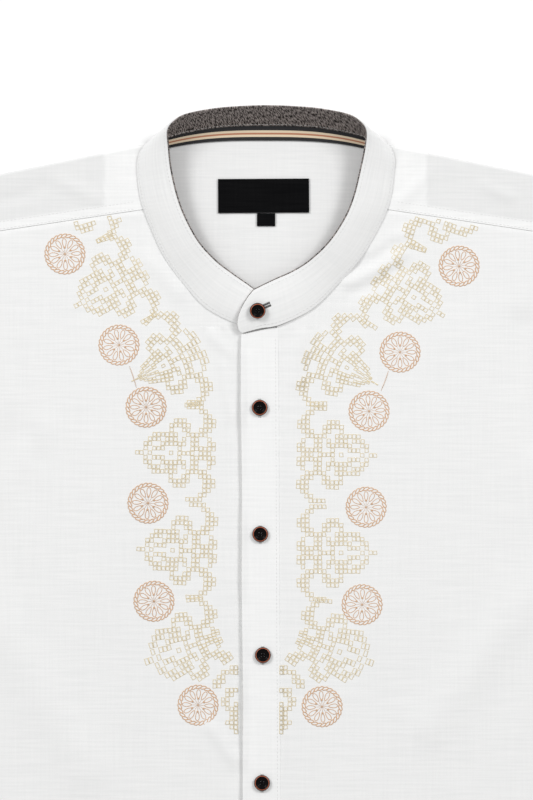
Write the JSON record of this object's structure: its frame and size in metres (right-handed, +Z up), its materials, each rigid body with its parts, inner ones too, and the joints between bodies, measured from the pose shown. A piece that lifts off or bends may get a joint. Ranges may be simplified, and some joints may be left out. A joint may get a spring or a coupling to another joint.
{
  "type": "formal shirt",
  "caption": "Buttoned formal shirt with a band collar, separate front placket, shoulder yoke and long cuffed sleeves, laid flat face up.",
  "frame": {"origin": "middle of the shirt's bounding box in plan, on the surface that it lies on", "axes": "+Z up out of the shirt's front, +Y from the hem to the collar, +X towards the viewer's right, along the sleeves"},
  "size_m": [1.5002, 0.7826, 0.0272],
  "materials": {
    "white_cotton": "fine plain weave, matte",
    "grey_chambray": "flecked twill, matte",
    "striped_tape": "woven stripes, matte",
    "black_label": "dense satin weave, bare",
    "black_button": "polished, with a copper ring"
  },
  "bodies": {
    "root": {"yoke": "white_cotton", "back": "white_cotton", "front_right": "white_cotton", "front_left": "white_cotton", "placket": "white_cotton", "collar_outer": "white_cotton", "collar_inner": "grey_chambray", "neck_tape": "striped_tape", "label": "black_label", "size_tab": "black_label", "sleeve_right": "white_cotton", "sleeve_left": "white_cotton", "cuff_right": "white_cotton", "cuff_left": "white_cotton", "button_collar": "black_button", "button_1": "black_button", "button_2": "black_button", "button_3": "black_button", "button_4": "black_button", "button_5": "black_button", "button_6": "black_button", "cuff_button_right": "black_button", "cuff_button_left": "black_button"}
  },
  "joints": []
}
